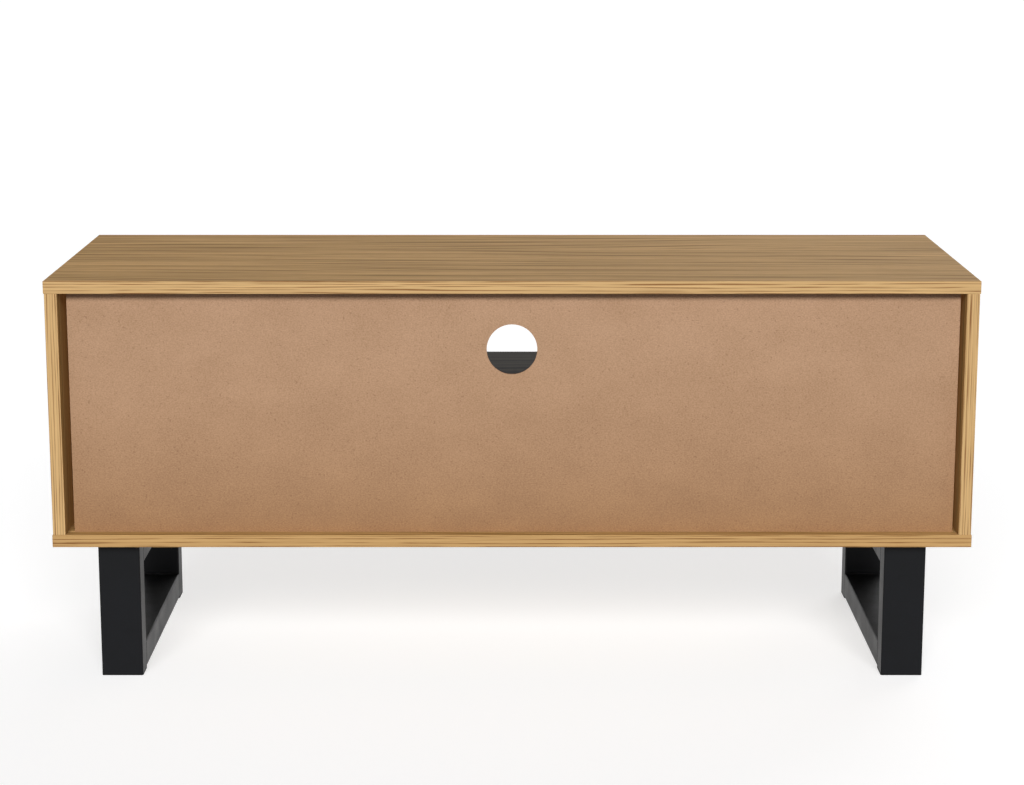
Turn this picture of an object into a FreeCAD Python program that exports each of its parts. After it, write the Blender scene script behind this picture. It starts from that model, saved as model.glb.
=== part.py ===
import FreeCAD, Part
import os

# TV stand: an oak-effect carcass with an open centre bay between two cupboards, a door on each
# cupboard, and two loops of steel tube as legs.
# Millimetres. +Z is up and the floor is Z = 0. The doors face -Y. The origin is on the floor, under
# the centre of the whole stand. Left and right are those of a person who faces the doors.

# ---------------------------------------------------------------- driving dimensions
WIDTH = 1100.0
CARCASS_DEPTH = 400.0
HEIGHT = 488.0
LEG_HEIGHT = 166.0
BOARD = 15.0                # thickness of every board
ARRIS = 0.6                 # rounding of the boards' edges
END_OVERHANG = 1.0          # top and bottom boards stand this far past the side boards

PANEL_THICKNESS = 3.0
PANEL_RECESS = 16.0         # from the boards' rear edges to the panel's rear face
PANEL_WIDTH = 1055.0        # narrower than the opening, so a gap is left down each side
PANEL_SHIFT = -1.8          # the panel has slid this far in its grooves
GROOVE_DEPTH = 6.0
GROOVE_PLAY = 0.2           # on each face and on each long edge of the panel
CABLE_HOLE_RADIUS = 30.0
CABLE_HOLE_BELOW_TOP = 84.0

BAY_WIDTH = 346.0
SHELF_SETBACK = 17.0        # centre shelf, from the front of the boards
CENTRE_SHELF_DROP = 1.5     # its middle, below the middle of the bay

DOOR_SETBACK = 0.5
DOOR_GAP = 2.0              # above, below and on the opening side
PIVOT_SIDE_GAP = 3.0
PIVOT_FROM_EDGE = 10.0      # pivot axis, from the door's hinged edge
HANDLE_PROJECTION = 24.0    # past the front of the boards

TUBE_WIDTH = 50.0
TUBE_THICKNESS = 32.0
TUBE_WALL = 1.5
TUBE_CORNER = 2.0
LEG_INSET_END = 51.0
LEG_INSET_FRONT = 18.0
FOOT_CAP = 2.0
PLUG_HEIGHT = 14.0
PLUG_PLAY = 0.1

# ---------------------------------------------------------------- fittings
CAM_RADIUS = 7.5
CAM_DEPTH = 12.4
CAM_FROM_END = 24.0         # cam's centre, from the end of its board
CAM_PLAY = 0.1
CAM_SLOT_LENGTH = 9.0
CAM_SLOT_WIDTH = 1.2
CAM_SLOT_DEPTH = 1.5
BOLT_THREAD_RADIUS = 2.5
BOLT_THREAD_LENGTH = 11.0
BOLT_SHANK_RADIUS = 2.6
BOLT_HEAD_RADIUS = 3.4
BOLT_HEAD_LENGTH = 4.0
BOLT_BORE_RADIUS = 4.0
DOWEL_RADIUS = 4.0
DOWEL_IN_FACE = 10.0
DOWEL_IN_END = 20.0
FITTING_FROM_EDGE = 60.0    # first cam, from the front or rear edge of its board
DOWEL_FROM_CAM = 32.0

PIVOT_RADIUS = 3.0
PIVOT_PLAY = 0.05
PIVOT_END_PLAY = 0.5
PIVOT_IN_BOARD = 6.0
PLATE_LENGTH = 50.0
PLATE_WIDTH = 12.0
PLATE_THICKNESS = 2.0
PLATE_PAST_PIVOT = 8.0
PLATE_SCREWS_FROM_PIVOT = (16.0, 34.0)
BUSH_RADIUS = 5.5
BUSH_DEPTH = 8.0
BUSH_FLANGE_RADIUS = 8.0
BUSH_FLANGE = 1.5
WOOD_SCREW_RADIUS = 1.5
WOOD_SCREW_HEAD_RADIUS = 3.0
WOOD_SCREW_LENGTH = 16.0

CATCH_FROM_OPENING_EDGE = 42.0
CATCH_LENGTH = 46.0
CATCH_BODY_LENGTH = 26.0
CATCH_DEPTH = 15.0
CATCH_HEIGHT = 13.0
CATCH_FLANGE = 3.0
CATCH_SOFTENING = 1.0
CATCH_AIR = 0.3             # between the magnet and the strike plate
MAGNET_LENGTH = 20.0
MAGNET_HEIGHT = 7.0
MAGNET_DEPTH = 10.0
MAGNET_PROUD = 0.4
STRIKE_LENGTH = 30.0
STRIKE_HEIGHT = 11.0
STRIKE_THICKNESS = 1.2
STRIKE_CORNER = 2.0
SHORT_SCREW_LENGTH = 10.0

HANDLE_FROM_OPENING_EDGE = 34.0
HANDLE_LENGTH = 136.0
HANDLE_CENTRES = 96.0
HANDLE_BAR = 9.0
HANDLE_POST_RADIUS = 4.0
HANDLE_SOFTENING = 1.5
HANDLE_SCREW_RADIUS = 2.0
HANDLE_SCREW_IN_POST = 9.0
HANDLE_SCREW_HEAD_RADIUS = 4.0
HANDLE_SCREW_HEAD = 2.5
HANDLE_SCREW_SLOT = 1.0     # width and depth

LEG_SCREW_RADIUS = 3.0
LEG_SCREW_HEAD_RADIUS = 6.0
LEG_SCREW_HEAD = 4.0
LEG_SCREW_SOCKET = 4.0      # side of the square socket
LEG_SCREW_FROM_POST = 45.0
LEG_SCREW_SPREAD = 24.0
INSERT_RADIUS = 5.0
INSERT_LENGTH = 12.0

# ---------------------------------------------------------------- places worked out from them
HALF_WIDTH = WIDTH / 2
TOTAL_DEPTH = CARCASS_DEPTH + HANDLE_PROJECTION
REAR = TOTAL_DEPTH / 2
FRONT = REAR - CARCASS_DEPTH
BOTTOM_TOP = LEG_HEIGHT + BOARD             # upper face of the bottom board
TOP_UNDER = HEIGHT - BOARD                  # lower face of the top board
SIDE_OUTER = HALF_WIDTH - END_OVERHANG
SIDE_INNER = SIDE_OUTER - BOARD
DIVIDER_INNER = BAY_WIDTH / 2
DIVIDER_OUTER = DIVIDER_INNER + BOARD
PANEL_REAR = REAR - PANEL_RECESS
PANEL_FRONT = PANEL_REAR - PANEL_THICKNESS
BEHIND = PANEL_FRONT - GROOVE_PLAY          # rear edge of what stops at the panel
SHELF_MIDDLE = (BOTTOM_TOP + TOP_UNDER) / 2

DOOR_OUTER = SIDE_INNER - PIVOT_SIDE_GAP
DOOR_INNER = DIVIDER_OUTER + DOOR_GAP
DOOR_LOW = BOTTOM_TOP + DOOR_GAP
DOOR_HIGH = TOP_UNDER - DOOR_GAP
DOOR_FACE = FRONT + DOOR_SETBACK
DOOR_BACK = DOOR_FACE + BOARD
PIVOT_X = DOOR_OUTER - PIVOT_FROM_EDGE
PIVOT_Y = (DOOR_FACE + DOOR_BACK) / 2

LEG_OUTER = HALF_WIDTH - LEG_INSET_END
LEG_INNER = LEG_OUTER - TUBE_WIDTH
LEG_FRONT = FRONT + LEG_INSET_FRONT
LEG_REAR = REAR - LEG_INSET_FRONT

X = FreeCAD.Vector(1, 0, 0)
Y = FreeCAD.Vector(0, 1, 0)
Z = FreeCAD.Vector(0, 0, 1)


# ---------------------------------------------------------------- small tools
def block(x, y, z):
    """A box from three (low, high) pairs."""
    corner = FreeCAD.Vector(x[0], y[0], z[0])
    return Part.makeBox(x[1] - x[0], y[1] - y[0], z[1] - z[0], corner)


def board(x, y, z):
    """A board with softly rounded edges."""
    plain = block(x, y, z)
    return plain.makeFillet(ARRIS, plain.Edges)


def rod(start, axis, radius, length):
    return Part.makeCylinder(radius, length, start, axis)


def edges_along(shape, axis):
    """The straight edges of a shape that run along an axis."""
    found = []
    for edge in shape.Edges:
        run = edge.Vertexes[-1].Point - edge.Vertexes[0].Point
        if run.Length > 0 and abs(run.normalize().dot(axis)) > 0.999:
            found.append(edge)
    return found


def mirrored(shape):
    """The same shape on the left-hand side."""
    return shape.mirror(FreeCAD.Vector(0, 0, 0), X)


def save(name, solids):
    """Write one node, a single solid or a group of like solids."""
    for solid in solids:
        if not solid.isValid() or solid.Volume <= 0:
            raise ValueError(name + " holds a bad solid")
    shape = solids[0] if len(solids) == 1 else Part.makeCompound(solids)
    shape.exportStep("parts/" + name + ".step")


# ---------------------------------------------------------------- knock-down joints between boards
# A joint is a tuple (origin, into, face): a point where the end of one board meets the face of
# another, at the middle of the first board's thickness; the direction into the first board; and the
# normal of that board's face which the cam is let into.

def cam_place(joint):
    origin, into, face = joint
    return origin + into * CAM_FROM_END + face * (BOARD / 2)


def cam_pocket(joint):
    return rod(cam_place(joint), joint[2] * -1, CAM_RADIUS, CAM_DEPTH + CAM_PLAY)


def bolt_bore(joint):
    return rod(joint[0], joint[1], BOLT_BORE_RADIUS, CAM_FROM_END)


def cam_lock(joint):
    into, face = joint[1], joint[2]
    body = rod(cam_place(joint), face * -1, CAM_RADIUS - CAM_PLAY, CAM_DEPTH)
    mouth = rod(joint[0], into, BOLT_BORE_RADIUS, CAM_FROM_END + BOLT_HEAD_LENGTH / 2)
    side = into.cross(face)
    slots = [driver_slot(joint, into, side), driver_slot(joint, side, into)]
    return body.cut([mouth] + slots)


def driver_slot(joint, along, across):
    """One arm of the cross slot in the cam's face."""
    face = joint[2]
    middle = cam_place(joint) - face * CAM_SLOT_DEPTH
    corner = middle - along * (CAM_SLOT_LENGTH / 2) - across * (CAM_SLOT_WIDTH / 2)
    reach = along * CAM_SLOT_LENGTH
    breadth = across * CAM_SLOT_WIDTH
    wire = Part.makePolygon([corner, corner + reach, corner + reach + breadth, corner + breadth, corner])
    return Part.Face(wire).extrude(face * CAM_SLOT_DEPTH)


def cam_bolt(joint):
    origin, into = joint[0], joint[1]
    shank = CAM_FROM_END - BOLT_HEAD_LENGTH / 2
    thread = rod(origin - into * BOLT_THREAD_LENGTH, into, BOLT_THREAD_RADIUS, BOLT_THREAD_LENGTH)
    neck = rod(origin, into, BOLT_SHANK_RADIUS, shank)
    head = rod(origin + into * shank, into, BOLT_HEAD_RADIUS, BOLT_HEAD_LENGTH / 2)
    return thread.fuse([neck, head])


def bolt_hole(joint):
    """The hole for the bolt's thread, in the face of the other board."""
    return rod(joint[0] - joint[1] * BOLT_THREAD_LENGTH, joint[1], BOLT_THREAD_RADIUS, BOLT_THREAD_LENGTH)


def dowel(joint):
    return rod(joint[0] - joint[1] * DOWEL_IN_FACE, joint[1], DOWEL_RADIUS, DOWEL_IN_FACE + DOWEL_IN_END)


def end_tools(cams, dowels):
    """What the joints take out of the board whose end they hold."""
    tools = [cam_pocket(joint) for joint in cams]
    tools += [bolt_bore(joint) for joint in cams]
    tools += [dowel(joint) for joint in dowels]
    return tools


def face_tools(cams, dowels):
    """What the joints take out of the board whose face they meet."""
    return [bolt_hole(joint) for joint in cams] + [dowel(joint) for joint in dowels]


def joint_rows(front, rear):
    """Where the cams and the dowels stand, between a board's front and rear edges."""
    cams = [front + FITTING_FROM_EDGE, rear - FITTING_FROM_EDGE]
    dowels = [cams[0] + DOWEL_FROM_CAM, cams[1] - DOWEL_FROM_CAM]
    return cams, dowels


def upright_joints(x_middle, rear, z, into, face):
    cams, dowels = joint_rows(FRONT, rear)
    return ([(FreeCAD.Vector(x_middle, y, z), into, face) for y in cams],
            [(FreeCAD.Vector(x_middle, y, z), into, face) for y in dowels])


def side_joints(z, into):
    return upright_joints((SIDE_INNER + SIDE_OUTER) / 2, PANEL_FRONT, z, into, X * -1)


def divider_joints(z, into):
    return upright_joints((DIVIDER_INNER + DIVIDER_OUTER) / 2, BEHIND, z, into, X)


SHELF_CENTRE_Z = SHELF_MIDDLE - CENTRE_SHELF_DROP
SHELF_FRONT = FRONT + SHELF_SETBACK


def shelf_joints():
    """The right-hand end of the centre shelf, held to the divider."""
    cams, dowels = joint_rows(SHELF_FRONT, BEHIND)
    return ([(FreeCAD.Vector(DIVIDER_INNER, y, SHELF_CENTRE_Z), X * -1, Z * -1) for y in cams],
            [(FreeCAD.Vector(DIVIDER_INNER, y, SHELF_CENTRE_Z), X * -1, Z * -1) for y in dowels])


SIDE_TOP = side_joints(TOP_UNDER, Z * -1)
SIDE_BOTTOM = side_joints(BOTTOM_TOP, Z)
DIVIDER_TOP = divider_joints(TOP_UNDER, Z * -1)
DIVIDER_BOTTOM = divider_joints(BOTTOM_TOP, Z)
SHELF_END = shelf_joints()
ALL_JOINTS = [SIDE_TOP, SIDE_BOTTOM, DIVIDER_TOP, DIVIDER_BOTTOM, SHELF_END]


def both_sides(shapes):
    return shapes + [mirrored(shape) for shape in shapes]


# ---------------------------------------------------------------- pivots of the doors
def pivot_ends():
    """The lower and the upper pivot: z of the door's end, z of the board's face, and the way out."""
    return ((DOOR_LOW, BOTTOM_TOP, Z * -1), (DOOR_HIGH, TOP_UNDER, Z))


def pivot_plate(door_z, out):
    """A plate let into the end of the door, with its pin."""
    x = (PIVOT_X + PLATE_PAST_PIVOT - PLATE_LENGTH, PIVOT_X + PLATE_PAST_PIVOT)
    y = (PIVOT_Y - PLATE_WIDTH / 2, PIVOT_Y + PLATE_WIDTH / 2)
    z = sorted((door_z, door_z - out.z * PLATE_THICKNESS))
    pin = rod(FreeCAD.Vector(PIVOT_X, PIVOT_Y, door_z), out, PIVOT_RADIUS, DOOR_GAP + PIVOT_IN_BOARD)
    return block(x, y, z), pin


def plate_screws(door_z, out):
    screws = []
    for step in PLATE_SCREWS_FROM_PIVOT:
        start = FreeCAD.Vector(PIVOT_X - step, PIVOT_Y, door_z)
        screws.append(wood_screw(start, out * -1, WOOD_SCREW_LENGTH))
    return screws


def wood_screw(start, into, length):
    """A countersunk screw whose head is flush with its start."""
    sink = WOOD_SCREW_HEAD_RADIUS - WOOD_SCREW_RADIUS
    head = Part.makeCone(WOOD_SCREW_HEAD_RADIUS, WOOD_SCREW_RADIUS, sink, start, into)
    shank = rod(start + into * sink, into, WOOD_SCREW_RADIUS, length - 2 * sink)
    tip = Part.makeCone(WOOD_SCREW_RADIUS, 0, sink, start + into * (length - sink), into)
    return head.fuse([shank, tip])


def pivot_bush(board_z, out):
    """A plastic bush in the board, with a flange that the door turns on."""
    face = FreeCAD.Vector(PIVOT_X, PIVOT_Y, board_z)
    barrel = rod(face, out, BUSH_RADIUS, BUSH_DEPTH)
    flange = rod(face - out * BUSH_FLANGE, out, BUSH_FLANGE_RADIUS, BUSH_FLANGE)
    bore = rod(face - out * BUSH_FLANGE, out, PIVOT_RADIUS + PIVOT_PLAY,
               BUSH_FLANGE + PIVOT_IN_BOARD + PIVOT_END_PLAY)
    return barrel.fuse(flange).cut(bore)


def bush_holes():
    holes = []
    for _, board_z, out in pivot_ends():
        holes.append(rod(FreeCAD.Vector(PIVOT_X, PIVOT_Y, board_z), out, BUSH_RADIUS, BUSH_DEPTH))
    return holes


# ---------------------------------------------------------------- magnetic catch and strike plate
CATCH_X = DOOR_INNER + CATCH_FROM_OPENING_EDGE
STRIKE_FACE = DOOR_BACK + STRIKE_THICKNESS
MAGNET_FACE = STRIKE_FACE + CATCH_AIR
CATCH_FACE = MAGNET_FACE + MAGNET_PROUD
CATCH_REAR = CATCH_FACE + CATCH_DEPTH
STRIKE_Z = TOP_UNDER - CATCH_HEIGHT + CATCH_HEIGHT / 2 - CATCH_FLANGE / 2


def centred(middle, length):
    return (middle - length / 2, middle + length / 2)


def catch_screws():
    screws = []
    reach = (CATCH_LENGTH + CATCH_BODY_LENGTH) / 4
    for side in (-1, 1):
        start = FreeCAD.Vector(CATCH_X + side * reach, (CATCH_FACE + CATCH_REAR) / 2,
                               TOP_UNDER - CATCH_FLANGE)
        screws.append(wood_screw(start, Z, SHORT_SCREW_LENGTH + CATCH_FLANGE))
    return screws


def catch_magnet():
    return block(centred(CATCH_X, MAGNET_LENGTH), (MAGNET_FACE, MAGNET_FACE + MAGNET_DEPTH),
                 centred(STRIKE_Z, MAGNET_HEIGHT))


def catch_housing():
    y = (CATCH_FACE, CATCH_REAR)
    flange = block(centred(CATCH_X, CATCH_LENGTH), y, (TOP_UNDER - CATCH_FLANGE, TOP_UNDER))
    body = block(centred(CATCH_X, CATCH_BODY_LENGTH), y, (TOP_UNDER - CATCH_HEIGHT, TOP_UNDER))
    whole = flange.fuse(body).removeSplitter()
    softened = whole.makeFillet(CATCH_SOFTENING, edges_along(whole, Y))
    return softened.cut([catch_magnet()] + catch_screws())


def strike_screws():
    screws = []
    for side in (-1, 1):
        start = FreeCAD.Vector(CATCH_X + side * STRIKE_LENGTH / 3, STRIKE_FACE, STRIKE_Z)
        screws.append(wood_screw(start, Y * -1, SHORT_SCREW_LENGTH))
    return screws


def strike_plate():
    plate = block(centred(CATCH_X, STRIKE_LENGTH), (DOOR_BACK, STRIKE_FACE),
                  centred(STRIKE_Z, STRIKE_HEIGHT))
    rounded = plate.makeFillet(STRIKE_CORNER, edges_along(plate, Y))
    return rounded.cut(strike_screws())


# ---------------------------------------------------------------- handle
HANDLE_X = DOOR_INNER + HANDLE_FROM_OPENING_EDGE
HANDLE_FACE = FRONT - HANDLE_PROJECTION
HANDLE_ENDS = [SHELF_MIDDLE - HANDLE_CENTRES / 2, SHELF_MIDDLE + HANDLE_CENTRES / 2]


def handle_screw(z):
    head = rod(FreeCAD.Vector(HANDLE_X, DOOR_BACK, z), Y, HANDLE_SCREW_HEAD_RADIUS, HANDLE_SCREW_HEAD)
    tip_y = DOOR_FACE - HANDLE_SCREW_IN_POST
    shank = rod(FreeCAD.Vector(HANDLE_X, tip_y, z), Y, HANDLE_SCREW_RADIUS, DOOR_BACK - tip_y)
    head_face = DOOR_BACK + HANDLE_SCREW_HEAD
    slot = block(centred(HANDLE_X, HANDLE_SCREW_SLOT), (head_face - HANDLE_SCREW_SLOT, head_face),
                 centred(z, HANDLE_SCREW_HEAD_RADIUS * 3 / 2))
    return head.fuse(shank).cut(slot)


def handle():
    bar_y = (HANDLE_FACE, HANDLE_FACE + HANDLE_BAR)
    bar = block(centred(HANDLE_X, HANDLE_BAR), bar_y, centred(SHELF_MIDDLE, HANDLE_LENGTH))
    bar = bar.makeFillet(HANDLE_SOFTENING, bar.Edges)
    posts = []
    for z in HANDLE_ENDS:
        start = FreeCAD.Vector(HANDLE_X, bar_y[0] + HANDLE_BAR / 2, z)
        posts.append(rod(start, Y, HANDLE_POST_RADIUS, DOOR_FACE - start.y))
    return bar.fuse(posts).cut([handle_screw(z) for z in HANDLE_ENDS])


# ---------------------------------------------------------------- legs
def leg_screw_places():
    places = []
    middle = (LEG_INNER + LEG_OUTER) / 2
    rows = (LEG_FRONT + TUBE_THICKNESS + LEG_SCREW_FROM_POST,
            LEG_REAR - TUBE_THICKNESS - LEG_SCREW_FROM_POST)
    for y in rows:
        for side in (-1, 1):
            places.append((middle + side * LEG_SCREW_SPREAD / 2, y))
    return places


def leg_screw(place):
    """A machine screw through the top rail, up into its threaded insert."""
    under = LEG_HEIGHT - TUBE_THICKNESS
    foot = FreeCAD.Vector(place[0], place[1], under - LEG_SCREW_HEAD)
    head = rod(foot, Z, LEG_SCREW_HEAD_RADIUS, LEG_SCREW_HEAD)
    shank = rod(FreeCAD.Vector(place[0], place[1], under), Z, LEG_SCREW_RADIUS,
                TUBE_THICKNESS + INSERT_LENGTH)
    socket = block(centred(place[0], LEG_SCREW_SOCKET), centred(place[1], LEG_SCREW_SOCKET),
                   (foot.z, foot.z + LEG_SCREW_HEAD / 2))
    return head.fuse(shank).cut(socket)


def insert_hole(place):
    return rod(FreeCAD.Vector(place[0], place[1], LEG_HEIGHT), Z, INSERT_RADIUS, INSERT_LENGTH)


def threaded_insert(place):
    core = rod(FreeCAD.Vector(place[0], place[1], LEG_HEIGHT), Z, LEG_SCREW_RADIUS, INSERT_LENGTH)
    return insert_hole(place).cut(core)


def post(y):
    """An upright tube, closed at the top by a welded plate."""
    z = (FOOT_CAP, LEG_HEIGHT)
    outside = block((LEG_INNER, LEG_OUTER), y, z)
    outside = outside.makeFillet(TUBE_CORNER, edges_along(outside, Z))
    inside = block((LEG_INNER + TUBE_WALL, LEG_OUTER - TUBE_WALL),
                   (y[0] + TUBE_WALL, y[1] - TUBE_WALL),
                   (z[0], z[1] - TUBE_WALL))
    return outside.cut(inside)


def rail(z):
    """A level tube, welded between the posts."""
    y = (LEG_FRONT + TUBE_THICKNESS, LEG_REAR - TUBE_THICKNESS)
    outside = block((LEG_INNER, LEG_OUTER), y, z)
    outside = outside.makeFillet(TUBE_CORNER, edges_along(outside, Y))
    inside = block((LEG_INNER + TUBE_WALL, LEG_OUTER - TUBE_WALL), y,
                   (z[0] + TUBE_WALL, z[1] - TUBE_WALL))
    return outside.cut(inside)


def top_rail():
    screws = [leg_screw(place) for place in leg_screw_places()]
    return rail((LEG_HEIGHT - TUBE_THICKNESS, LEG_HEIGHT)).cut(screws)


def foot_cap(y):
    """A plastic cap: a plate under the post and a plug inside the tube."""
    plate = block((LEG_INNER, LEG_OUTER), y, (0, FOOT_CAP))
    plate = plate.makeFillet(TUBE_CORNER, edges_along(plate, Z))
    slack = TUBE_WALL + PLUG_PLAY
    plug = block((LEG_INNER + slack, LEG_OUTER - slack), (y[0] + slack, y[1] - slack),
                 (FOOT_CAP, FOOT_CAP + PLUG_HEIGHT))
    return plate.fuse(plug)


# ---------------------------------------------------------------- boards and panel
def groove(z):
    return block((-SIDE_INNER, SIDE_INNER),
                 (PANEL_FRONT - GROOVE_PLAY, PANEL_REAR + GROOVE_PLAY), z)


def top_board():
    whole = board((-HALF_WIDTH, HALF_WIDTH), (FRONT, REAR), (TOP_UNDER, HEIGHT))
    tools = both_sides(face_tools(*SIDE_TOP) + face_tools(*DIVIDER_TOP) + [bush_holes()[1]])
    tools += both_sides(catch_screws())
    return whole.cut(tools + [groove((TOP_UNDER, TOP_UNDER + GROOVE_DEPTH))])


def bottom_board():
    whole = board((-HALF_WIDTH, HALF_WIDTH), (FRONT, REAR), (LEG_HEIGHT, BOTTOM_TOP))
    tools = both_sides(face_tools(*SIDE_BOTTOM) + face_tools(*DIVIDER_BOTTOM) + [bush_holes()[0]])
    tools += both_sides([insert_hole(place) for place in leg_screw_places()])
    return whole.cut(tools + [groove((BOTTOM_TOP - GROOVE_DEPTH, BOTTOM_TOP))])


def side_board():
    whole = board((SIDE_INNER, SIDE_OUTER), (FRONT, REAR), (BOTTOM_TOP, TOP_UNDER))
    return whole.cut(end_tools(*SIDE_TOP) + end_tools(*SIDE_BOTTOM))


def divider():
    whole = board((DIVIDER_INNER, DIVIDER_OUTER), (FRONT, BEHIND), (BOTTOM_TOP, TOP_UNDER))
    return whole.cut(end_tools(*DIVIDER_TOP) + end_tools(*DIVIDER_BOTTOM) + face_tools(*SHELF_END))


def centre_shelf():
    whole = board((-DIVIDER_INNER, DIVIDER_INNER), (SHELF_FRONT, BEHIND),
                  (SHELF_CENTRE_Z - BOARD / 2, SHELF_CENTRE_Z + BOARD / 2))
    return whole.cut(both_sides(end_tools(*SHELF_END)))


def back_panel():
    x = (PANEL_SHIFT - PANEL_WIDTH / 2, PANEL_SHIFT + PANEL_WIDTH / 2)
    reach = GROOVE_DEPTH - GROOVE_PLAY
    sheet = block(x, (PANEL_FRONT, PANEL_REAR), (BOTTOM_TOP - reach, TOP_UNDER + reach))
    centre = FreeCAD.Vector(0, PANEL_FRONT, HEIGHT - CABLE_HOLE_BELOW_TOP)
    return sheet.cut(rod(centre, Y, CABLE_HOLE_RADIUS, PANEL_THICKNESS))


def door():
    whole = board((DOOR_INNER, DOOR_OUTER), (DOOR_FACE, DOOR_BACK), (DOOR_LOW, DOOR_HIGH))
    tools = [handle_screw(z) for z in HANDLE_ENDS] + strike_screws()
    for door_z, _, out in pivot_ends():
        plate, _ = pivot_plate(door_z, out)
        tools.append(plate)
        tools += plate_screws(door_z, out)
    return whole.cut(tools)


# ---------------------------------------------------------------- write every node
def save_pair(name, solids):
    """Write a right-hand node and its mirror image on the left."""
    save("right_" + name, solids)
    save("left_" + name, [mirrored(solid) for solid in solids])


def main():
    os.makedirs("parts", exist_ok=True)
    save("top_board", [top_board()])
    save("bottom_board", [bottom_board()])
    save("centre_shelf", [centre_shelf()])
    save("back_panel", [back_panel()])
    save_pair("side_board", [side_board()])
    save_pair("divider", [divider()])

    cams = [joint for pair in ALL_JOINTS for joint in pair[0]]
    dowels = [joint for pair in ALL_JOINTS for joint in pair[1]]
    save("cam_locks", both_sides([cam_lock(joint) for joint in cams]))
    save("cam_bolts", both_sides([cam_bolt(joint) for joint in cams]))
    save("wooden_dowels", both_sides([dowel(joint) for joint in dowels]))

    save_pair("door", [door()])
    save_pair("handle", [handle()])
    save_pair("handle_screws", [handle_screw(z) for z in HANDLE_ENDS])
    all_plate_screws = []
    for name, (door_z, board_z, out) in zip(("lower", "upper"), pivot_ends()):
        screws = plate_screws(door_z, out)
        plate, pin = pivot_plate(door_z, out)
        save_pair(name + "_pivot_plate", [plate.fuse(pin).cut(screws)])
        save_pair(name + "_pivot_bush", [pivot_bush(board_z, out)])
        all_plate_screws += screws
    save_pair("pivot_plate_screws", all_plate_screws)
    save_pair("catch_housing", [catch_housing()])
    save_pair("catch_magnet", [catch_magnet()])
    save_pair("catch_screws", catch_screws())
    save_pair("strike_plate", [strike_plate()])
    save_pair("strike_screws", strike_screws())

    front_y = (LEG_FRONT, LEG_FRONT + TUBE_THICKNESS)
    rear_y = (LEG_REAR - TUBE_THICKNESS, LEG_REAR)
    save_pair("leg_front_post", [post(front_y)])
    save_pair("leg_rear_post", [post(rear_y)])
    save_pair("leg_top_rail", [top_rail()])
    save_pair("leg_floor_rail", [rail((FOOT_CAP, FOOT_CAP + TUBE_THICKNESS))])
    save_pair("front_foot_cap", [foot_cap(front_y)])
    save_pair("rear_foot_cap", [foot_cap(rear_y)])
    save_pair("leg_screws", [leg_screw(place) for place in leg_screw_places()])
    save_pair("leg_inserts", [threaded_insert(place) for place in leg_screw_places()])


main()
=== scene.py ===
import math

import bmesh
import bpy
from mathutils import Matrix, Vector


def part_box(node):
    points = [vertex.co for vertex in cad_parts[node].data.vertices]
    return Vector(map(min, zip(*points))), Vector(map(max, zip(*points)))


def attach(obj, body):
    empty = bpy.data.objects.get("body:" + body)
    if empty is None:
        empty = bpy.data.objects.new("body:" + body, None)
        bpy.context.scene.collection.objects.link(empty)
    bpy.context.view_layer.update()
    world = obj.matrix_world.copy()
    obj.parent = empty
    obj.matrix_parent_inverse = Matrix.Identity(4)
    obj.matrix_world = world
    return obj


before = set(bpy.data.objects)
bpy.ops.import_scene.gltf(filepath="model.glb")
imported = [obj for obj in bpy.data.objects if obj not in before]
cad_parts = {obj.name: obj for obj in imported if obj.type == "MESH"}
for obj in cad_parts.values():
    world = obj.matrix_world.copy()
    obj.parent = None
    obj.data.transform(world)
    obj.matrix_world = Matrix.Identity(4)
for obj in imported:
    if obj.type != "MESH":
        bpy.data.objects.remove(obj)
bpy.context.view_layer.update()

MM = 0.001
X, Y, Z = 0, 1, 2              # axes, as a board's grain or thickness names them

# The camera looks at the back of the stand, from a little above its top.
CAMERA_BEHIND = 2.818          # from the boards' rear edges
CAMERA_HEIGHT = 0.93
CAMERA_TILT = 11.53            # degrees below level
CAMERA_LENS = 85.56
SENSOR_WIDTH = 36.0

# The floor runs on into a wall all round, past the camera's own view. From low angles the
# place where it turns up shows as a faint band.
FLOOR_RADIUS = 44.0
COVE_RADIUS = 8.0
COVE_STEPS = 12
WALL_TOP = 20.0
FLOOR_SIDES = 96
FLOOR_GLOW = 0.62              # a pale floor lit a little from below

# Two key lamps behind the stand and one lamp in front, with their angles in degrees
KEY_HEIGHT = 28.0
KEY_ASIDE = 11.0               # to each side
KEY_SPREAD = 18.0
KEY_LEVEL = 0.5
FRONT_AZIMUTH = 158.0
FRONT_HEIGHT = 30.0
FRONT_SPREAD = 40.0
FRONT_LEVEL = 0.34
CUPBOARD_LAMP = 0.25           # watts
CUPBOARD_LAMP_SHARE = 0.7      # of the divider's height and depth
CUPBOARD_LAMP_TINT = "ffe0cc"

# The room's levels, each from its first value to its second
ROOM_ABOVE = (0.14, 0.17)      # over the stand, from its rear to its front
ROOM_BELOW = (0.1, 1.0)        # under the horizon, from its rear to its front
ROOM_ASIDE = (0.1, 0.75)       # under the horizon, from the middle to the sides

# The wood print, in millimetres: each streak's length along the grain and width across it.
# The sizes were chosen. Real pores and fibres are well under 1 mm wide, so these are
# drawn coarser to show at all.
VEIN = (480.0, 12.0)
FIBRE = (90.0, 1.6)
PORE = (26.0, 1.1)
VEIN_WEIGHT = 0.62
RING_WEIGHT = 0.36
FIBRE_WEIGHT = 0.5
RING_SPACING = 17.0
RING_UNEVENNESS = 3.0          # in rings
RING_FADE = (240.0, 22.0)
HEART_BEND = (600.0, 300.0)
HEART_WANDER = 30.0            # to each side of the heart line, as it bends along the tree
CUT_DEPTH = 16.0               # the board's face, from the tree's heart
TAPER = 0.055                  # how fast the tree narrows, which draws the rings out into arches
BAND_LINE_SPACING = 3.6
BAND_DRIFT = (380.0, 8.0)
BAND_DRIFT_LINES = 2.6         # how many lines the drift moves them by, at most
BAND_DASH = (55.0, 2.6)

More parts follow.
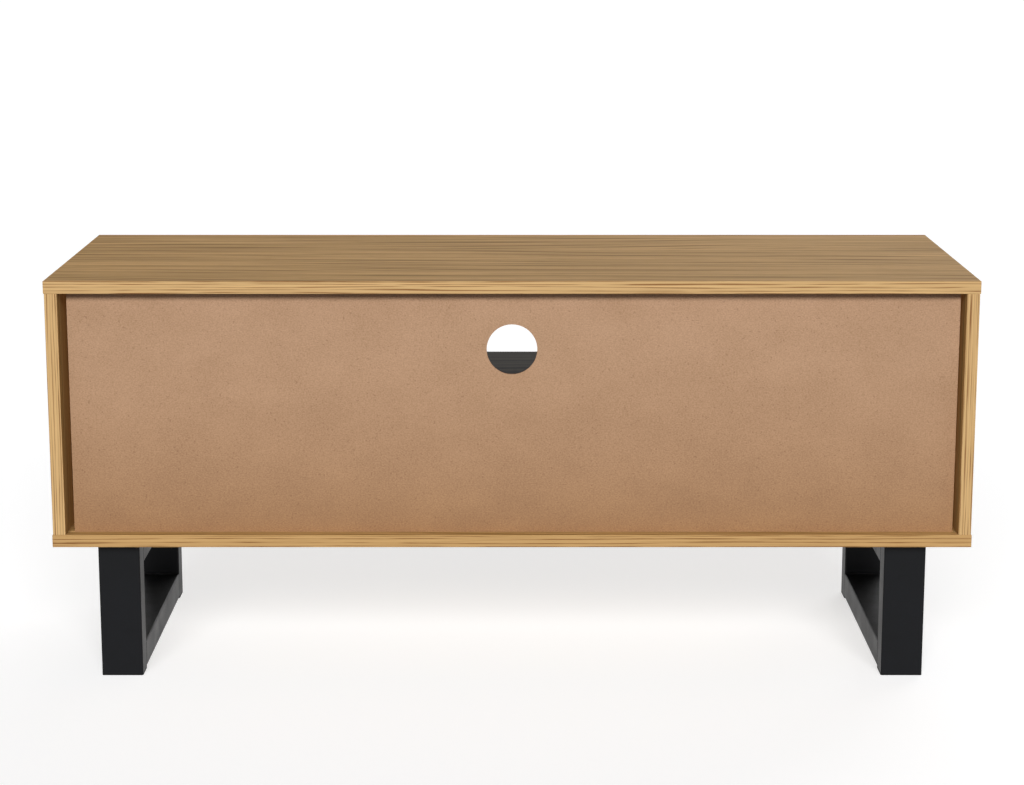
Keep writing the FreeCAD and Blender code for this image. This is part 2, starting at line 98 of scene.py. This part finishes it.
# The raw fibreboard, in millimetres along each axis. Single fibres are under 0.3 mm wide, so
# they are drawn at 1.5 to 1.9 mm.
PANEL_CLOUD = (55.0, 55.0, 38.0)
PANEL_FIBRE = (1.9, 1.9, 1.5)
PANEL_SPECK = (2.6, 2.6, 2.2)
# The panel's colours at its upper edge, and at its lower edge darker and redder as painted shade
PANEL_UPPER = ("bf9a7c", "a68364")
PANEL_LOWER_PAINTED_SHADE = ("ab8259", "926c4d")
PANEL_SPECK_COLOUR = "6e4a35"
PANEL_CUT_COLOUR = "5a3a26"

PATCH_SIZE = 30                # a metal's or plastic's patches, in sizes of its grain

# Weld beads in the inner corners of the legs
BEAD_RADIUS = 1.9 * MM
BEAD_RIPPLE = 1.6 * MM         # from one ripple to the next
BEAD_FROM_EDGE = 3.0 * MM      # each end, from the tube's side
BEAD_SIDES = 10
BEAD_STEPS = 4                 # in each ripple
BEAD_VALLEY = 0.86             # radius between two ripples, as a share of the full one
BEAD_SWELL = 0.14
BEAD_TIP = 0.35                # radius at each end, as a share of the full one
BEAD_TAPER = 6                 # how fast the ends reach it


# ---- Small helpers ----

def linear(code):
    """An sRGB hex colour such as "c3a070" as the linear colour that shaders use."""
    channels = [int(code[i:i + 2], 16) / 255 for i in (0, 2, 4)]
    return [c / 12.92 if c <= 0.04045 else ((c + 0.055) / 1.055) ** 2.4 for c in channels] + [1.0]


def add(tree, kind, sockets=None, **settings):
    """Adds a node. Each input in sockets, by name or number, takes a value or a link from an output."""
    node = tree.nodes.new(kind)
    for name, value in settings.items():
        setattr(node, name, value)
    for name, value in (sockets or {}).items():
        if isinstance(value, bpy.types.NodeSocket):
            tree.links.new(value, node.inputs[name])
        else:
            node.inputs[name].default_value = value
    return node


def new_finish(name, roughness, gloss=0.5, metallic=0.0):
    """A material with one surface shader. Gives the material, its tree and the shader."""
    material = bpy.data.materials.new(name)
    material.use_nodes = True
    tree = material.node_tree
    tree.nodes.clear()
    shader = add(tree, "ShaderNodeBsdfPrincipled", {
        "Roughness": roughness,
        "Specular IOR Level": gloss,
        "Metallic": metallic,
    })
    add(tree, "ShaderNodeOutputMaterial", {"Surface": shader.outputs[0]})
    return material, tree, shader


def millimetres(tree, scale=(1.0, 1.0, 1.0)):
    """Places on the piece in millimetres, each axis divided by its own pattern size."""
    place = add(tree, "ShaderNodeTexCoord")
    size = [1 / MM / step for step in scale]
    return add(tree, "ShaderNodeVectorMath", {0: place.outputs["Object"], 1: size},
               operation="MULTIPLY").outputs[0]


# ---- Wood-effect boards ----

def board_places(tree, grain, thin):
    """Places on a board in millimetres, along the grain, across it and through the board.

    On an end face the first two change over, because its edge band runs along the end.
    Also gives 1 on the broad faces and 0 on the edge bands.
    """
    across = ({X, Y, Z} - {grain, thin}).pop()
    place = add(tree, "ShaderNodeTexCoord")
    scaled = add(tree, "ShaderNodeVectorMath", {0: place.outputs["Object"], "Scale": 1 / MM},
                 operation="SCALE")
    part = add(tree, "ShaderNodeSeparateXYZ", {0: scaled.outputs[0]}).outputs
    facing = add(tree, "ShaderNodeVectorMath", {0: place.outputs["Normal"]}, operation="ABSOLUTE")
    facing = add(tree, "ShaderNodeSeparateXYZ", {0: facing.outputs[0]}).outputs
    along_board = add(tree, "ShaderNodeCombineXYZ", {0: part[grain], 1: part[across], 2: part[thin]})
    along_end = add(tree, "ShaderNodeCombineXYZ", {0: part[across], 1: part[grain], 2: part[thin]})
    is_end = add(tree, "ShaderNodeMath", {0: facing[grain], 1: 0.7}, operation="GREATER_THAN")
    places = add(tree, "ShaderNodeMix", {0: is_end.outputs[0], 4: along_board.outputs[0],
                                         5: along_end.outputs[0]}, data_type="VECTOR")
    is_broad = add(tree, "ShaderNodeMapRange", {"Value": facing[thin], "From Min": 0.6, "From Max": 0.8})
    return places.outputs[1], is_broad.outputs[0]


def streaks(tree, places, length, width, detail=1.0, roughness=0.5):
    """A noise of long thin streaks, about that many millimetres long and wide."""
    stretched = add(tree, "ShaderNodeVectorMath",
                    {0: places, 1: (1 / length, 1 / width, 1 / width)}, operation="MULTIPLY")
    return add(tree, "ShaderNodeTexNoise", {
        "Vector": stretched.outputs[0],
        "Scale": 1.0,
        "Detail": detail,
        "Roughness": roughness,
    }).outputs[0]


def growth_rings(tree, places, heart):
    """Year rings cut along the tree: arches over the heart line, straight lines away from it.

    heart is where the line runs across the board, in millimetres.
    """
    wander = streaks(tree, places, *HEART_BEND)
    wander = add(tree, "ShaderNodeMapRange", {"Value": wander, "To Min": heart + HEART_WANDER,
                                              "To Max": heart - HEART_WANDER})
    part = add(tree, "ShaderNodeSeparateXYZ", {0: places}).outputs
    aside = add(tree, "ShaderNodeMath", {0: part[1], 1: wander.outputs[0]}, operation="SUBTRACT")
    from_heart = add(tree, "ShaderNodeCombineXYZ", {0: aside.outputs[0], 1: CUT_DEPTH})
    radius = add(tree, "ShaderNodeVectorMath", {0: from_heart.outputs[0]}, operation="LENGTH")
    age = add(tree, "ShaderNodeMath", {0: part[0], 1: TAPER, 2: radius.outputs["Value"]},
              operation="MULTIPLY_ADD")
    years = add(tree, "ShaderNodeMath", {0: age.outputs[0], 1: 1 / RING_SPACING},
                operation="MULTIPLY")
    uneven = add(tree, "ShaderNodeTexNoise", {"W": years.outputs[0], "Scale": 0.4, "Detail": 1.0},
                 noise_dimensions="1D")
    years = add(tree, "ShaderNodeMath", {0: uneven.outputs[0], 1: RING_UNEVENNESS,
                                          2: years.outputs[0]}, operation="MULTIPLY_ADD")
    season = add(tree, "ShaderNodeMath", {0: years.outputs[0]}, operation="FRACT")

    # Spring wood starts each ring as a sharp dark line that fades into the summer wood.
    spring = add(tree, "ShaderNodeMapRange", {"Value": season.outputs[0], "From Max": 0.55,
                                              "To Min": 1.0, "To Max": 0.0})
    start = add(tree, "ShaderNodeMapRange", {"Value": season.outputs[0], "From Min": 0.86})
    line = add(tree, "ShaderNodeMath", {0: spring.outputs[0], 1: start.outputs[0]},
               operation="MAXIMUM")
    fade = streaks(tree, places, *RING_FADE)
    fade = add(tree, "ShaderNodeMapRange", {"Value": fade, "From Min": 0.35, "From Max": 0.62})
    return add(tree, "ShaderNodeMath", {0: line.outputs[0], 1: fade.outputs[0]},
               operation="MULTIPLY").outputs[0]


def broad_face(tree, places, heart, light, dark, pore):
    """The print on a broad face, as its colour and the height of its grain."""
    rings = growth_rings(tree, places, heart)
    veins = streaks(tree, places, *VEIN, detail=1.5)
    fibres = streaks(tree, places, *FIBRE, detail=3.0, roughness=0.6)
    figure = add(tree, "ShaderNodeMath", {0: veins, 1: VEIN_WEIGHT}, operation="MULTIPLY")
    for layer, weight in ((rings, RING_WEIGHT), (fibres, FIBRE_WEIGHT)):
        figure = add(tree, "ShaderNodeMath", {0: layer, 1: weight, 2: figure.outputs[0]},
                     operation="MULTIPLY_ADD")
    shade = add(tree, "ShaderNodeMapRange", {"Value": figure.outputs[0], "From Min": 0.45,
                                             "From Max": 0.9})
    wood = add(tree, "ShaderNodeMix", {0: shade.outputs[0], 6: light, 7: dark}, data_type="RGBA")
    pores = add(tree, "ShaderNodeMapRange", {"Value": streaks(tree, places, *PORE),
                                             "From Min": 0.60, "From Max": 0.72, "To Max": 0.4})
    colour = add(tree, "ShaderNodeMix", {0: pores.outputs[0], 6: wood.outputs[2], 7: pore},
                 data_type="RGBA")
    height = add(tree, "ShaderNodeMath", {0: fibres, 1: pores.outputs[0]}, operation="SUBTRACT")
    return colour.outputs[2], height.outputs[0]


def edge_band(tree, places, light, dark):
    """The print on an edge band: fine dark lines, nearly straight, broken into long dashes."""
    part = add(tree, "ShaderNodeSeparateXYZ", {0: places}).outputs
    drift = streaks(tree, places, *BAND_DRIFT)
    drift = add(tree, "ShaderNodeMath", {0: drift, 1: BAND_DRIFT_LINES}, operation="MULTIPLY")
    phase = add(tree, "ShaderNodeMath", {0: part[2], 1: 1 / BAND_LINE_SPACING, 2: drift.outputs[0]},
                operation="MULTIPLY_ADD")
    wave = add(tree, "ShaderNodeMath", {0: phase.outputs[0], 1: 0.5}, operation="PINGPONG")
    line = add(tree, "ShaderNodeMapRange", {"Value": wave.outputs[0], "From Min": 0.02,
                                            "From Max": 0.28, "To Min": 1.0, "To Max": 0.0})
    breaks = streaks(tree, places, *BAND_DASH)
    breaks = add(tree, "ShaderNodeMapRange", {"Value": breaks, "From Min": 0.36, "From Max": 0.6,
                                              "To Min": 0.25})
    line = add(tree, "ShaderNodeMath", {0: line.outputs[0], 1: breaks.outputs[0]},
               operation="MULTIPLY")
    fibres = streaks(tree, places, *FIBRE)
    soft = add(tree, "ShaderNodeMapRange", {"Value": fibres, "From Min": 0.35, "From Max": 0.7,
                                            "To Max": 0.22})
    line = add(tree, "ShaderNodeMath", {0: line.outputs[0], 1: soft.outputs[0]},
               operation="MAXIMUM")
    return add(tree, "ShaderNodeMix", {0: line.outputs[0], 6: light, 7: dark},
               data_type="RGBA").outputs[2]


def wood_pattern(tree, grain, thin, heart, colours):
    """The printed wood on a board, as its colour and the height of its grain.

    colours are the light wood, the dark wood, the pore lines on the broad faces, and the
    light and the dark lines of the edge band.
    """
    light, dark, pore, band_light, band_line = [linear(code) for code in colours]
    places, is_broad = board_places(tree, grain, thin)
    broad, height = broad_face(tree, places, heart, light, dark, pore)
    band = edge_band(tree, places, band_light, band_line)
    colour = add(tree, "ShaderNodeMix", {0: is_broad, 6: band, 7: broad}, data_type="RGBA")
    return colour.outputs[2], height


def wood_effect_board(name, grain, thin, heart, colours, roughness=0.7, gloss=0.1):
    """Melamine-faced chipboard with a printed, lightly embossed wood grain."""
    material, tree, shader = new_finish(name, roughness, gloss)
    colour, height = wood_pattern(tree, grain, thin, heart, colours)
    tree.links.new(colour, shader.inputs["Base Color"])
    sheen = add(tree, "ShaderNodeMapRange", {"Value": height, "To Min": roughness + 0.08,
                                             "To Max": roughness - 0.06})
    tree.links.new(sheen.outputs[0], shader.inputs["Roughness"])
    bump = add(tree, "ShaderNodeBump", {"Strength": 0.25, "Distance": 0.06 * MM, "Height": height})
    tree.links.new(bump.outputs[0], shader.inputs["Normal"])
    return material


# The light wood, the dark wood, the pore lines, and the edge band's light and dark lines
OAK = ("bc955f", "876736", "6f522f", "d5b07a", "855a33")
OAK_WARM = ("bf9862", "8f6e3c", "735533", "c8a069", "81582f")
CHARCOAL = ("4b453b", "2d2923", "211f1b", "544e45", "322f2a")


def oak_melamine(node, grain, thin, heart, colours=OAK):
    """Satin oak print: honey-brown with darker arches, and broken dark lines on the edge bands."""
    return wood_effect_board(f"oak_effect_melamine_{node}", grain, thin, heart, colours)


def charcoal_melamine(node, grain, thin, heart):
    """Satin charcoal print: a dark warm grey, with a faint darker grain."""
    return wood_effect_board(f"charcoal_melamine_{node}", grain, thin, heart, CHARCOAL)


# ---- Back panel ----

def raw_fibreboard():
    """Pressed brown fibreboard, matt and finely mottled, with painted shade that makes it a little
    redder and darker towards its lower edge. Its face inside the cupboards carries a printed oak paper."""
    material, tree, shader = new_finish("raw_fibreboard", roughness=0.8, gloss=0.2)
    low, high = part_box("back_panel")

    # Broad clouds and fine fibres make the mottling, and dark specks lie over it.
    clouds = add(tree, "ShaderNodeTexNoise", {"Vector": millimetres(tree, PANEL_CLOUD),
                                              "Scale": 1.0, "Detail": 3.0})
    fibres = add(tree, "ShaderNodeTexNoise", {"Vector": millimetres(tree, PANEL_FIBRE),
                                              "Scale": 1.0, "Detail": 2.0})
    specks = add(tree, "ShaderNodeTexNoise", {"Vector": millimetres(tree, PANEL_SPECK),
                                              "Scale": 1.0, "Detail": 0.0})
    tone = add(tree, "ShaderNodeMath", {0: clouds.outputs[0], 1: 0.35, 2: fibres.outputs[0]},
               operation="MULTIPLY_ADD")
    tone = add(tree, "ShaderNodeMapRange", {"Value": tone.outputs[0], "From Min": 0.42, "From Max": 0.93})
    upper, lower = [
        add(tree, "ShaderNodeMix", {0: tone.outputs[0], 6: linear(pale), 7: linear(deep)},
            data_type="RGBA")
        for pale, deep in (PANEL_UPPER, PANEL_LOWER_PAINTED_SHADE)
    ]
    place = add(tree, "ShaderNodeTexCoord")
    part = add(tree, "ShaderNodeSeparateXYZ", {0: place.outputs["Object"]})
    # Painted shade: the colour fades from the upper pair to the darker, redder lower pair towards the
    # panel's lower edge.
    painted_shade = add(tree, "ShaderNodeMapRange", {"Value": part.outputs[Z], "From Min": high.z,
                                            "From Max": low.z})
    painted_shade = add(tree, "ShaderNodeMath", {0: painted_shade.outputs[0], 1: 2.0}, operation="POWER")
    board = add(tree, "ShaderNodeMix", {0: painted_shade.outputs[0], 6: upper.outputs[2], 7: lower.outputs[2]},
                data_type="RGBA")
    speck = add(tree, "ShaderNodeMapRange", {"Value": specks.outputs[0], "From Min": 0.73,
                                             "From Max": 0.83, "To Max": 0.3})
    board = add(tree, "ShaderNodeMix", {0: speck.outputs[0], 6: board.outputs[2],
                                         7: linear(PANEL_SPECK_COLOUR)}, data_type="RGBA")

    # The wall of the cable hole is browned by the cutter; the front face is oak paper.
    facing = add(tree, "ShaderNodeSeparateXYZ", {0: place.outputs["Normal"]}).outputs[Y]
    is_face = add(tree, "ShaderNodeMath", {0: facing}, operation="ABSOLUTE")
    is_wall = add(tree, "ShaderNodeMath", {0: is_face.outputs[0], 1: 0.5}, operation="LESS_THAN")
    board = add(tree, "ShaderNodeMix", {0: is_wall.outputs[0], 6: board.outputs[2],
                                         7: linear(PANEL_CUT_COLOUR)}, data_type="RGBA")
    paper, _ = wood_pattern(tree, X, Y, (low.z + high.z) / 2 / MM, OAK)
    is_front = add(tree, "ShaderNodeMath", {0: facing, 1: -0.5}, operation="LESS_THAN")
    colour = add(tree, "ShaderNodeMix", {0: is_front.outputs[0], 6: board.outputs[2], 7: paper},
                 data_type="RGBA")
    tree.links.new(colour.outputs[2], shader.inputs["Base Color"])
    dull = add(tree, "ShaderNodeMapRange", {"Value": fibres.outputs[0], "To Min": 0.72, "To Max": 0.9})
    tree.links.new(dull.outputs[0], shader.inputs["Roughness"])
    bump = add(tree, "ShaderNodeBump", {"Strength": 0.3, "Distance": 0.08 * MM,
                                        "Height": fibres.outputs[0]})
    tree.links.new(bump.outputs[0], shader.inputs["Normal"])
    return material


# ---- Metals and plastics ----

def grained_finish(name, colours, size, roughness, gloss=0.5, metallic=0.0, relief=0.05,
                   stretch=(1.0, 1.0, 1.0)):
    """A finish whose colour, gloss and height all follow one fine grain, its size in millimetres."""
    material, tree, shader = new_finish(name, roughness, gloss, metallic)
    grain = add(tree, "ShaderNodeTexNoise", {
        "Vector": millimetres(tree, [size * step for step in stretch]),
        "Scale": 1.0,
        "Detail": 2.0,
    }).outputs[0]
    patches = add(tree, "ShaderNodeTexNoise", {"Vector": millimetres(tree, [PATCH_SIZE * size] * 3),
                                               "Scale": 1.0, "Detail": 2.0}).outputs[0]
    tone = add(tree, "ShaderNodeMath", {0: grain, 1: patches}, operation="ADD")
    tone = add(tree, "ShaderNodeMapRange", {"Value": tone.outputs[0], "From Min": 0.7, "From Max": 1.3})
    colour = add(tree, "ShaderNodeMix", {0: tone.outputs[0], 6: linear(colours[0]),
                                         7: linear(colours[1])}, data_type="RGBA")
    tree.links.new(colour.outputs[2], shader.inputs["Base Color"])
    uneven = add(tree, "ShaderNodeMapRange", {"Value": tone.outputs[0], "To Min": roughness - 0.05,
                                              "To Max": roughness + 0.07})
    tree.links.new(uneven.outputs[0], shader.inputs["Roughness"])
    bump = add(tree, "ShaderNodeBump", {"Strength": 0.4, "Distance": relief * MM, "Height": grain})
    tree.links.new(bump.outputs[0], shader.inputs["Normal"])
    return material


def black_powder_coat():
    """Baked black powder: matt head-on, with a soft sheen along the tubes and a fine peel, drawn
    at 1.2 mm."""
    return grained_finish("black_powder_coat", ("131417", "0e0f11"), size=1.2, roughness=0.42,
                          gloss=0.13, relief=0.01)


def zinc_plated_steel():
    """Bright zinc over turned steel: cool silver with faint turning marks."""
    return grained_finish("zinc_plated_steel", ("cfd1cf", "a9acab"), size=0.6, roughness=0.3,
                          metallic=1.0, relief=0.01, stretch=(1.0, 1.0, 0.3))


def cast_zinc():
    """Zinc die casting as it leaves the mould: duller grey, with a slightly grainy skin."""
    return grained_finish("cast_zinc", ("b4b6b8", "8f9295"), size=0.8, roughness=0.48,
                          metallic=1.0, relief=0.03)


def moulded_black_plastic():
    """Black polypropylene from a spark-eroded mould: even, fine-grained and matt."""
    return grained_finish("moulded_black_polypropylene", ("161616", "101010"), size=0.7,
                          roughness=0.6, gloss=0.05, relief=0.03)


def moulded_white_plastic():
    """Off-white acetal: smooth and satin, slightly waxy."""
    return grained_finish("moulded_white_acetal", ("e6e3da", "dbd7cc"), size=1.5, roughness=0.38,
                          relief=0.01)


def sintered_ferrite():
    """Pressed and fired ferrite: dark grey, dull, with a fine ceramic grain."""
    return grained_finish("sintered_ferrite", ("4a4a4d", "363639"), size=0.5, roughness=0.7,
                          relief=0.02)


def turned_beech():
    """Bare beech rod: pale pinkish wood with short darker flecks."""
    return grained_finish("turned_beech", ("cfa77b", "b58b5f"), size=0.8, roughness=0.65,
                          gloss=0.25, relief=0.03, stretch=(6.0, 1.0, 1.0))


# ---- Putting the finishes on ----

def heart_line(node, axis, share):
    """A place on a board in millimetres: the given share of the way across it."""
    low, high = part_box(node)
    return (low[axis] + share * (high[axis] - low[axis])) / MM


def finish_boards():
    """Each board has its own piece of the print, so no two show the same arches."""
    boards = {}
    for node, share, colours in (("top_board", 0.34, OAK), ("bottom_board", 0.6, OAK_WARM)):
        boards[node] = oak_melamine(node, X, Z, heart_line(node, Y, share), colours)
    for side, share in (("left", 0.42), ("right", 0.63)):
        node = f"{side}_side_board"
        boards[node] = oak_melamine(node, Z, X, heart_line(node, Y, share))
        node = f"{side}_door"
        boards[node] = oak_melamine(node, X, Y, heart_line(node, Z, share))
        node = f"{side}_divider"
        boards[node] = charcoal_melamine(node, Z, X, heart_line(node, Y, share))
    boards["centre_shelf"] = charcoal_melamine("centre_shelf", X, Z, heart_line("centre_shelf", Y, 0.5))
    boards["back_panel"] = raw_fibreboard()
    for node, material in boards.items():
        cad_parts[node].material_slots[0].material = material


def finish_fittings():
    """Every node that isn't a board takes the finish of its slot in the record."""
    finishes = {
        "black_steel": black_powder_coat(),
        "bright_steel": zinc_plated_steel(),
        "zinc_casting": cast_zinc(),
        "black_plastic": moulded_black_plastic(),
        "white_plastic": moulded_white_plastic(),
        "ferrite": sintered_ferrite(),
        "beech": turned_beech(),
    }
    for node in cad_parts.values():
        slot = node.material_slots[0]
        if slot.material.name in finishes:
            slot.material = finishes[slot.material.name]
    return finishes


# ---- Weld beads ----

def add_bead(mesh, start, end):
    """One weld bead from start to end, a rod whose ripples are the stops of the torch."""
    across = (end - start).normalized()
    up = across.orthogonal().normalized()
    out = across.cross(up)
    ripples = round((end - start).length / BEAD_RIPPLE)
    steps = ripples * BEAD_STEPS
    rings = []
    for step in range(steps + 1):
        share = step / steps
        swell = BEAD_VALLEY + BEAD_SWELL * abs(math.sin(math.pi * ripples * share))
        taper = min(1.0, BEAD_TAPER * share + BEAD_TIP, BEAD_TAPER * (1 - share) + BEAD_TIP)
        radius = BEAD_RADIUS * swell * taper
        centre = start.lerp(end, share)
        ring = []
        for side in range(BEAD_SIDES):
            turn = 2 * math.pi * side / BEAD_SIDES
            ring.append(mesh.verts.new(centre + radius * (math.cos(turn) * up + math.sin(turn) * out)))
        rings.append(ring)
    for one, two in zip(rings, rings[1:]):
        for side in range(BEAD_SIDES):
            after = (side + 1) % BEAD_SIDES
            mesh.faces.new((one[side], one[after], two[after], two[side]))
    mesh.faces.new(rings[0][::-1])
    mesh.faces.new(rings[-1])


def leg_weld_beads(side, material):
    """The four beads inside one leg's loop, where its rails meet its posts."""
    rear_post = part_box(f"{side}_leg_rear_post")[0]
    front_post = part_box(f"{side}_leg_front_post")[1]
    floor_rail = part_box(f"{side}_leg_floor_rail")[1]
    top_rail_low, top_rail_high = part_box(f"{side}_leg_top_rail")
    left = top_rail_low.x + BEAD_FROM_EDGE
    right = top_rail_high.x - BEAD_FROM_EDGE
    mesh = bmesh.new()
    for y in (rear_post.y, front_post.y):
        for z in (floor_rail.z, top_rail_low.z):
            add_bead(mesh, Vector((left, y, z)), Vector((right, y, z)))
    data = bpy.data.meshes.new(f"{side}_leg_weld_beads")
    bmesh.ops.recalc_face_normals(mesh, faces=mesh.faces)
    mesh.to_mesh(data)
    mesh.free()
    data.shade_smooth()
    data.materials.append(material)
    beads = bpy.data.objects.new(data.name, data)
    bpy.context.scene.collection.objects.link(beads)
    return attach(beads, "carcass")


# ---- Studio ----

def studio_floor():
    """A pale floor that curves up into a wall all round. It takes shadows and shows in reflections,
    and throws no light back up, as if it stood well away from the stand."""
    material, tree, shader = new_finish("studio_floor", roughness=0.9, gloss=0.1)
    patches = add(tree, "ShaderNodeTexNoise", {"Vector": millimetres(tree, (900.0, 900.0, 900.0)),
                                               "Scale": 1.0, "Detail": 2.0})
    paint = add(tree, "ShaderNodeMix", {0: patches.outputs[0], 6: linear("bcbcbc"), 7: linear("b9b9ba")},
                data_type="RGBA")
    tree.links.new(paint.outputs[2], shader.inputs["Base Color"])
    shader.inputs["Emission Color"].default_value = linear("ffffff")
    shader.inputs["Emission Strength"].default_value = FLOOR_GLOW
    outline = [(FLOOR_RADIUS, 0.0)]
    for step in range(1, COVE_STEPS + 1):
        turn = math.pi / 2 * step / COVE_STEPS
        outline.append((FLOOR_RADIUS + COVE_RADIUS * math.sin(turn), COVE_RADIUS * (1 - math.cos(turn))))
    outline.append((FLOOR_RADIUS + COVE_RADIUS, WALL_TOP))
    mesh = bmesh.new()
    rings = []
    for radius, height in outline:
        turns = [2 * math.pi * side / FLOOR_SIDES for side in range(FLOOR_SIDES)]
        rings.append([mesh.verts.new((radius * math.cos(t), radius * math.sin(t), height)) for t in turns])
    mesh.faces.new(rings[0])
    for one, two in zip(rings, rings[1:]):
        for side in range(FLOOR_SIDES):
            after = (side + 1) % FLOOR_SIDES
            mesh.faces.new((one[side], one[after], two[after], two[side]))
    data = bpy.data.meshes.new("studio_floor")
    mesh.to_mesh(data)
    mesh.free()
    data.materials.append(material)
    floor = bpy.data.objects.new("studio_floor", data)
    bpy.context.scene.collection.objects.link(floor)
    floor.visible_diffuse = False
    floor.visible_shadow = False


def studio_lamp(name, azimuth, elevation, spread, level):
    """A soft lamp far away. Azimuth 0 is behind the stand and 180 in front of its doors; level 1
    lights a white wall that faces the lamp to full white."""
    data = bpy.data.lights.new(name, "SUN")
    data.energy = level * math.pi
    data.angle = math.radians(spread)
    lamp = bpy.data.objects.new(name, data)
    lamp.rotation_euler = (math.radians(elevation - 90), 0, math.radians(azimuth))
    bpy.context.scene.collection.objects.link(lamp)


def cupboard_lamp(side):
    """A weak lamp on the divider inside one cupboard, so that the gap beside the back panel and
    the gaps round the door aren't black. The camera doesn't see it."""
    data = bpy.data.lights.new(f"{side}_cupboard_lamp", "AREA")
    data.energy = CUPBOARD_LAMP
    data.color = linear(CUPBOARD_LAMP_TINT)[:3]
    low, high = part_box(f"{side}_divider")
    middle = (low + high) / 2
    outward = -1 if side == "left" else 1
    data.shape = "RECTANGLE"
    data.size = CUPBOARD_LAMP_SHARE * (high.z - low.z)
    data.size_y = CUPBOARD_LAMP_SHARE * (high.y - low.y)
    lamp = bpy.data.objects.new(data.name, data)
    lamp.location = (middle.x + outward * (high.x - low.x), middle.y, middle.z)
    lamp.rotation_euler = (0, math.radians(-90 * outward), 0)
    lamp.visible_camera = False
    lamp.visible_glossy = False
    bpy.context.scene.collection.objects.link(lamp)


def studio_light():
    """Two soft lamps behind the stand and a wider one in front, in a room with pale screens."""
    studio_lamp("key_left", KEY_ASIDE, KEY_HEIGHT, KEY_SPREAD, KEY_LEVEL)
    studio_lamp("key_right", -KEY_ASIDE, KEY_HEIGHT, KEY_SPREAD, KEY_LEVEL)
    studio_lamp("front", FRONT_AZIMUTH, FRONT_HEIGHT, FRONT_SPREAD, FRONT_LEVEL)
    for side in ("left", "right"):
        cupboard_lamp(side)
    world = bpy.data.worlds.new("studio")
    world.use_nodes = True
    tree = world.node_tree
    tree.nodes.clear()
    direction = add(tree, "ShaderNodeTexCoord")
    part = add(tree, "ShaderNodeSeparateXYZ", {0: direction.outputs["Generated"]})
    above = add(tree, "ShaderNodeMapRange", {"Value": part.outputs[Y], "From Min": 0.1,
                                             "From Max": -0.9, "To Min": ROOM_ABOVE[0],
                                             "To Max": ROOM_ABOVE[1]})
    below = add(tree, "ShaderNodeMapRange", {"Value": part.outputs[Y], "From Min": 0.1,
                                             "From Max": -0.6, "To Min": ROOM_BELOW[0],
                                             "To Max": ROOM_BELOW[1]})
    aside = add(tree, "ShaderNodeMath", {0: part.outputs[X]}, operation="ABSOLUTE")
    aside = add(tree, "ShaderNodeMapRange", {"Value": aside.outputs[0], "From Min": 0.5,
                                             "From Max": 0.95, "To Min": ROOM_ASIDE[0],
                                             "To Max": ROOM_ASIDE[1]})
    below = add(tree, "ShaderNodeMath", {0: below.outputs[0], 1: aside.outputs[0]},
                operation="MAXIMUM")
    height = add(tree, "ShaderNodeMapRange", {"Value": part.outputs[Z], "From Min": -0.1,
                                              "From Max": 0.1})
    screens = add(tree, "ShaderNodeMix", {0: height.outputs[0], 2: below.outputs[0],
                                          3: above.outputs[0]}, data_type="FLOAT")
    sky = add(tree, "ShaderNodeBackground", {"Color": linear("fdfdff"), "Strength": screens.outputs[0]})
    add(tree, "ShaderNodeOutputWorld", {"Surface": sky.outputs[0]})
    bpy.context.scene.world = world


def studio_camera():
    """The camera stands behind the stand, on its middle line."""
    data = bpy.data.cameras.new("camera")
    data.lens = CAMERA_LENS
    data.sensor_width = SENSOR_WIDTH
    data.clip_end = 4 * FLOOR_RADIUS
    camera = bpy.data.objects.new("camera", data)
    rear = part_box("bottom_board")[1].y
    camera.location = (0.0, rear + CAMERA_BEHIND, CAMERA_HEIGHT)
    camera.rotation_euler = (math.radians(90 - CAMERA_TILT), 0, math.radians(180))
    bpy.context.scene.collection.objects.link(camera)
    bpy.context.scene.camera = camera


finish_boards()
fittings = finish_fittings()
for side in ("left", "right"):
    leg_weld_beads(side, fittings["black_steel"])
studio_floor()
studio_light()
studio_camera()
bpy.context.scene.view_settings.view_transform = "Standard"
